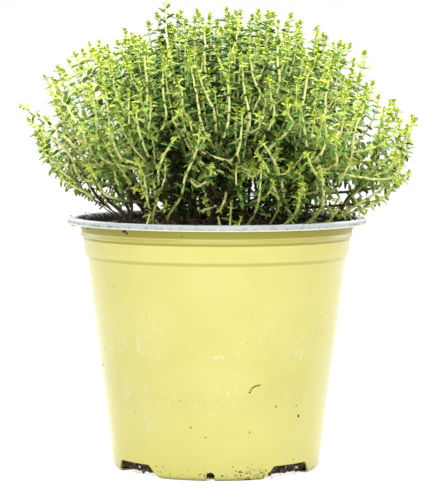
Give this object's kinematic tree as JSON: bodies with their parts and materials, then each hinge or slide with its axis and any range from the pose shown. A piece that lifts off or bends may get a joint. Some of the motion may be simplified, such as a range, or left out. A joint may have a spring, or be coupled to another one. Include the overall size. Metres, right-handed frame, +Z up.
{
  "type": "potted thyme",
  "caption": "Bushy thyme with upright leafy sprigs on thin woody stems, growing in a tapered thin-walled nursery pot with a pale rim and drainage slots in its foot.",
  "frame": {"origin": "middle of the pot's flat underside, where it rests", "axes": "+Z up along the pot's axis, -Y towards the front, +X to the right seen from the front"},
  "size_m": [0.175, 0.175, 0.2028],
  "materials": {
    "lime_plastic": "satin",
    "peat_soil": "matte",
    "thyme_bark": "matte",
    "thyme_leaf": "satin"
  },
  "bodies": {
    "root": {"pot": "lime_plastic", "root_ball": "peat_soil", "woody_stem_01": "thyme_bark", "woody_stem_02": "thyme_bark", "woody_stem_03": "thyme_bark", "woody_stem_04": "thyme_bark", "woody_stem_05": "thyme_bark", "woody_stem_06": "thyme_bark", "woody_stem_07": "thyme_bark", "woody_stem_08": "thyme_bark", "woody_stem_09": "thyme_bark", "woody_stem_10": "thyme_bark", "woody_stem_11": "thyme_bark", "woody_stem_12": "thyme_bark", "woody_stem_13": "thyme_bark", "woody_stem_14": "thyme_bark", "woody_stem_15": "thyme_bark", "woody_stem_16": "thyme_bark", "woody_stem_17": "thyme_bark", "woody_stem_18": "thyme_bark", "woody_stem_19": "thyme_bark", "woody_stem_20": "thyme_bark", "woody_stem_21": "thyme_bark", "woody_stem_22": "thyme_bark", "woody_stem_23": "thyme_bark", "leafy_sprig_01": "thyme_leaf", "leafy_sprig_02": "thyme_leaf", "leafy_sprig_03": "thyme_leaf", "leafy_sprig_04": "thyme_leaf", "leafy_sprig_05": "thyme_leaf", "leafy_sprig_06": "thyme_leaf", "leafy_sprig_07": "thyme_leaf", "leafy_sprig_08": "thyme_leaf", "leafy_sprig_09": "thyme_leaf", "leafy_sprig_10": "thyme_leaf", "leafy_sprig_11": "thyme_leaf", "leafy_sprig_12": "thyme_leaf", "leafy_sprig_13": "thyme_leaf", "leafy_sprig_14": "thyme_leaf", "leafy_sprig_15": "thyme_leaf", "leafy_sprig_16": "thyme_leaf", "leafy_sprig_17": "thyme_leaf", "leafy_sprig_18": "thyme_leaf", "leafy_sprig_19": "thyme_leaf", "leafy_sprig_20": "thyme_leaf", "leafy_sprig_21": "thyme_leaf", "leafy_sprig_22": "thyme_leaf", "leafy_sprig_23": "thyme_leaf"}
  },
  "joints": []
}
